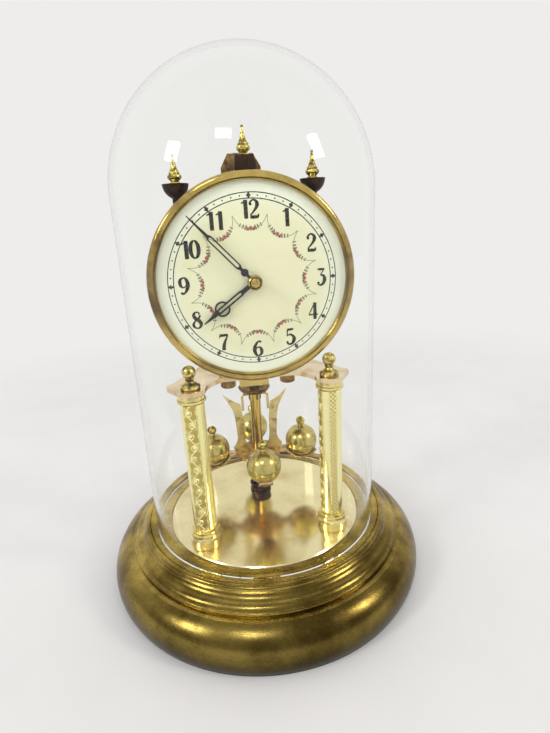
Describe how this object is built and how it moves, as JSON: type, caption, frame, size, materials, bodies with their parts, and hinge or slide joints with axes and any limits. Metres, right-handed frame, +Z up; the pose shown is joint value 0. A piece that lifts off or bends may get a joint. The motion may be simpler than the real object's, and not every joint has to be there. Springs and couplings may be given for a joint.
{
  "type": "desk pendulum clock",
  "caption": "Torsion pendulum clock with a round brass base, two embossed columns, a domed enamel dial, turning brass balls and a lift-off glass dome.",
  "frame": {"origin": "middle of the underside of the felt ring on which the base stands", "axes": "+X right, +Y back, +Z up; the dial faces -Y"},
  "size_m": [0.1968, 0.1968, 0.299],
  "materials": {
    "polished_brass": "polished and lacquered",
    "embossed_brass": "embossed sheet, polished stripes between relief bands",
    "antique_brass": "aged and brushed, darker in the hollows",
    "dark_bronze": "dark bronze patina",
    "train_brass": "fine brushed",
    "enamel": "cream glossy enamel with printed numerals and rose swags",
    "black_hands": "black, half matte",
    "steel": "fine turned",
    "blued_steel": "tempered spring steel",
    "felt": "dense green felt",
    "clear_glass": "clear blown glass"
  },
  "bodies": {
    "clock_frame": {"base_shell": "antique_brass", "base_felt": "felt", "base_plate": "polished_brass", "base_nuts": "steel", "guide_cup": "dark_bronze", "column_feet": "polished_brass", "column_tubes": "embossed_brass", "column_collars": "polished_brass", "tie_rods": "steel", "finial_nuts": "polished_brass", "platform": "polished_brass", "movement_screws": "polished_brass", "suspension_guard": "train_brass", "movement_front_plate": "train_brass", "movement_back_plate": "train_brass", "movement_pillars": "train_brass", "plate_screws": "steel", "dial": "enamel", "dial_backplate": "train_brass", "bezel": "polished_brass", "crest_block": "dark_bronze", "finial_cups": "dark_bronze", "centre_finial": "polished_brass", "side_finials": "polished_brass", "suspension_bracket": "train_brass", "suspension_saddle": "steel", "suspension_spring": "blued_steel", "click_spring": "blued_steel"},
    "dome": {"glass_dome": "clear_glass"},
    "pendulum": {"pendulum_dish": "polished_brass", "pendulum_column": "polished_brass", "pendulum_bail": "dark_bronze", "leaf_arm_left": "antique_brass", "leaf_arm_right": "antique_brass", "pendulum_carrier": "antique_brass", "pendulum_ball_front": "polished_brass", "pendulum_ball_right": "polished_brass", "pendulum_ball_back": "polished_brass", "pendulum_ball_left": "polished_brass", "ball_studs": "polished_brass", "suspension_block": "train_brass"},
    "fork": {"suspension_fork": "train_brass"},
    "anchor_set": {"anchor": "steel"},
    "minute_set": {"centre_arbor": "steel", "centre_wheel": "train_brass", "minute_hand": "black_hands", "hand_nut": "polished_brass"},
    "hour_set": {"hour_wheel": "train_brass", "hour_hand": "black_hands"},
    "motion_set": {"minute_wheel": "train_brass"},
    "third_set": {"third_wheel": "train_brass"},
    "escape_set": {"escape_wheel": "train_brass"},
    "second_set": {"second_wheel": "train_brass"},
    "barrel_set": {"barrel": "train_brass", "barrel_cap": "train_brass", "mainspring": "blued_steel"},
    "winding_set": {"winding_arbor": "steel", "ratchet_wheel": "steel"},
    "click_set": {"click": "steel"}
  },
  "joints": [
    {"name": "dome_lift", "type": "slide", "parent": "clock_frame", "child": "dome", "axis": [0, 0, 1], "range_m": [0, 0.26]},
    {"name": "pendulum_swing", "type": "hinge", "parent": "clock_frame", "child": "pendulum", "pos_m": [0, 0.01765, 0.113], "axis": [0, 0, 1], "range_deg": [-135, 135], "stiffness_Nm_per_rad": 0.000026, "deforming": ["suspension_spring"]},
    {"name": "fork_turn", "type": "hinge", "parent": "clock_frame", "child": "fork", "pos_m": [0, 0.01765, 0.2425], "axis": [0, 0, 1], "range_deg": [-11, 11]},
    {"name": "anchor_rock", "type": "hinge", "parent": "clock_frame", "child": "anchor_set", "pos_m": [0, 0, 0.22054], "axis": [0, 1, 0], "range_deg": [-3.6, 3.6]},
    {"name": "minute_arbor", "type": "hinge", "parent": "clock_frame", "child": "minute_set", "pos_m": [0, 0, 0.1851], "axis": [0, 1, 0], "continuous": true},
    {"name": "hour_pipe", "type": "hinge", "parent": "clock_frame", "child": "hour_set", "pos_m": [0, 0, 0.1851], "axis": [0, 1, 0], "continuous": true},
    {"name": "minute_wheel_stud", "type": "hinge", "parent": "clock_frame", "child": "motion_set", "pos_m": [0.00728, 0, 0.1809], "axis": [0, 1, 0], "continuous": true},
    {"name": "third_arbor", "type": "hinge", "parent": "clock_frame", "child": "third_set", "pos_m": [-0.00614, 0, 0.19879], "axis": [0, 1, 0], "continuous": true},
    {"name": "escape_arbor", "type": "hinge", "parent": "clock_frame", "child": "escape_set", "pos_m": [0, 0, 0.2091], "axis": [0, 1, 0], "continuous": true},
    {"name": "second_arbor", "type": "hinge", "parent": "clock_frame", "child": "second_set", "pos_m": [0.00156, 0, 0.17133], "axis": [0, 1, 0], "continuous": true},
    {"name": "barrel_turn", "type": "hinge", "parent": "clock_frame", "child": "barrel_set", "pos_m": [-0.0095, 0, 0.156], "axis": [0, 1, 0], "continuous": true},
    {"name": "winding_turn", "type": "hinge", "parent": "clock_frame", "child": "winding_set", "pos_m": [-0.0095, 0, 0.156], "axis": [0, 1, 0], "continuous": true},
    {"name": "click_rock", "type": "hinge", "parent": "clock_frame", "child": "click_set", "pos_m": [-0.021, 0, 0.165], "axis": [0, -1, 0], "range_deg": [0, 4], "stiffness_Nm_per_rad": 0.001, "springref_deg": -11.46}
  ],
  "couplings": [
    {"joint": "fork_turn", "follows": "pendulum_swing", "ratio": 0.08},
    {"joint": "anchor_rock", "follows": "pendulum_swing", "ratio": 0.025501},
    {"joint": "hour_pipe", "follows": "minute_arbor", "ratio": 0.083333},
    {"joint": "minute_wheel_stud", "follows": "minute_arbor", "ratio": -0.33333},
    {"joint": "third_arbor", "follows": "minute_arbor", "ratio": -4},
    {"joint": "escape_arbor", "follows": "minute_arbor", "ratio": 16},
    {"joint": "second_arbor", "follows": "minute_arbor", "ratio": -0.17857},
    {"joint": "barrel_turn", "follows": "minute_arbor", "ratio": 0.029762}
  ]
}
